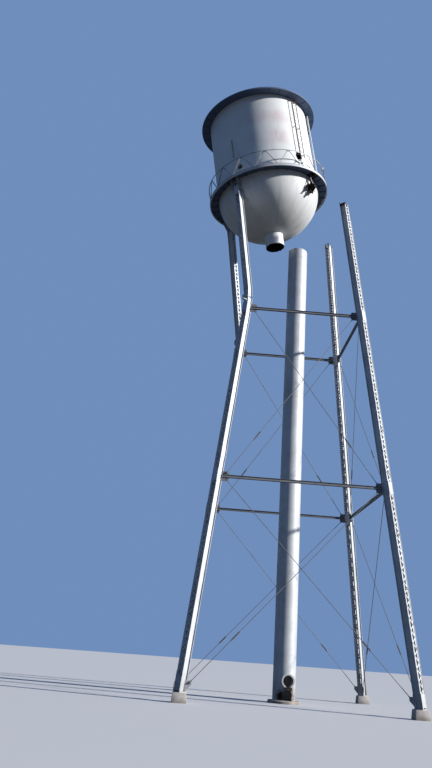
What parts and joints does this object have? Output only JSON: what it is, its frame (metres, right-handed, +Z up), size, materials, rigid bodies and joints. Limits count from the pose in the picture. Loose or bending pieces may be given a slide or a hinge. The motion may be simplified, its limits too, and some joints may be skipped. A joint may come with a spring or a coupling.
{
  "type": "water tower",
  "caption": "Four-legged steel water tower caught mid-fall: leaning tank with a round bowl on two buckled legs, the riser pipe and the other two legs cut free.",
  "frame": {"origin": "on the ground, on the centre line of the riser pipe, at the middle of the four legs' square", "axes": "+Z up, +X to the right and +Y away, seen from the picture's side; the tank leans towards -X"},
  "size_m": [13.0243, 11.832, 38.9423],
  "materials": {
    "silver_paint": "weathered aluminium paint, semi-matt, with faint rust at seams and edges",
    "tank_paint": "weathered pale tank paint, semi-matt, streaked below the balcony and rust stained at the seams",
    "rod_steel": "dull grey paint worn to rust at the threads",
    "torn_steel": "torn and burnt steel, dark and rough",
    "concrete": "rough cast concrete, stained"
  },
  "bodies": {
    "root": {"pier_front_right": "concrete", "pier_back_right": "concrete", "pier_back_left": "concrete", "pier_front_left": "concrete", "riser_foundation": "concrete", "leg_front_right": "silver_paint", "leg_back_right": "silver_paint", "leg_back_left_lower": "silver_paint", "leg_back_left_upper": "silver_paint", "leg_front_left_lower": "silver_paint", "leg_front_left_upper": "silver_paint", "strut_lower_front": "silver_paint", "strut_upper_front": "silver_paint", "rod_lower_rising_front": "rod_steel", "rod_lower_falling_front": "rod_steel", "rod_middle_rising_front": "rod_steel", "rod_middle_falling_front": "rod_steel", "strut_lower_right": "silver_paint", "strut_upper_right": "silver_paint", "rod_lower_rising_right": "rod_steel", "rod_lower_falling_right": "rod_steel", "rod_middle_rising_right": "rod_steel", "rod_middle_falling_right": "rod_steel", "strut_lower_back": "silver_paint", "strut_upper_back": "silver_paint", "rod_lower_rising_back": "rod_steel", "rod_lower_falling_back": "rod_steel", "rod_middle_rising_back": "rod_steel", "rod_middle_falling_back": "rod_steel", "strut_lower_left": "silver_paint", "strut_upper_left": "silver_paint", "rod_lower_rising_left": "rod_steel", "rod_lower_falling_left": "rod_steel", "rod_middle_rising_left": "rod_steel", "rod_middle_falling_left": "rod_steel", "riser_base": "silver_paint", "riser_pipe": "silver_paint", "riser_manhole": "silver_paint", "tank_bowl_front": "tank_paint", "tank_bowl_right": "tank_paint", "tank_bowl_back": "tank_paint", "tank_bowl_left": "tank_paint", "tank_neck": "tank_paint", "tank_shell": "tank_paint", "tank_roof": "tank_paint", "roof_vent": "tank_paint", "balcony_deck": "silver_paint", "balcony_edge_channel": "silver_paint", "railing_front": "silver_paint", "railing_right": "silver_paint", "railing_back": "silver_paint", "railing_left": "silver_paint", "tank_ladder": "silver_paint", "tank_conduit": "silver_paint", "leg_head_front_left": "silver_paint", "leg_head_back_left": "silver_paint", "leg_stub_front_right": "torn_steel", "leg_stub_back_right": "torn_steel"}
  },
  "joints": []
}
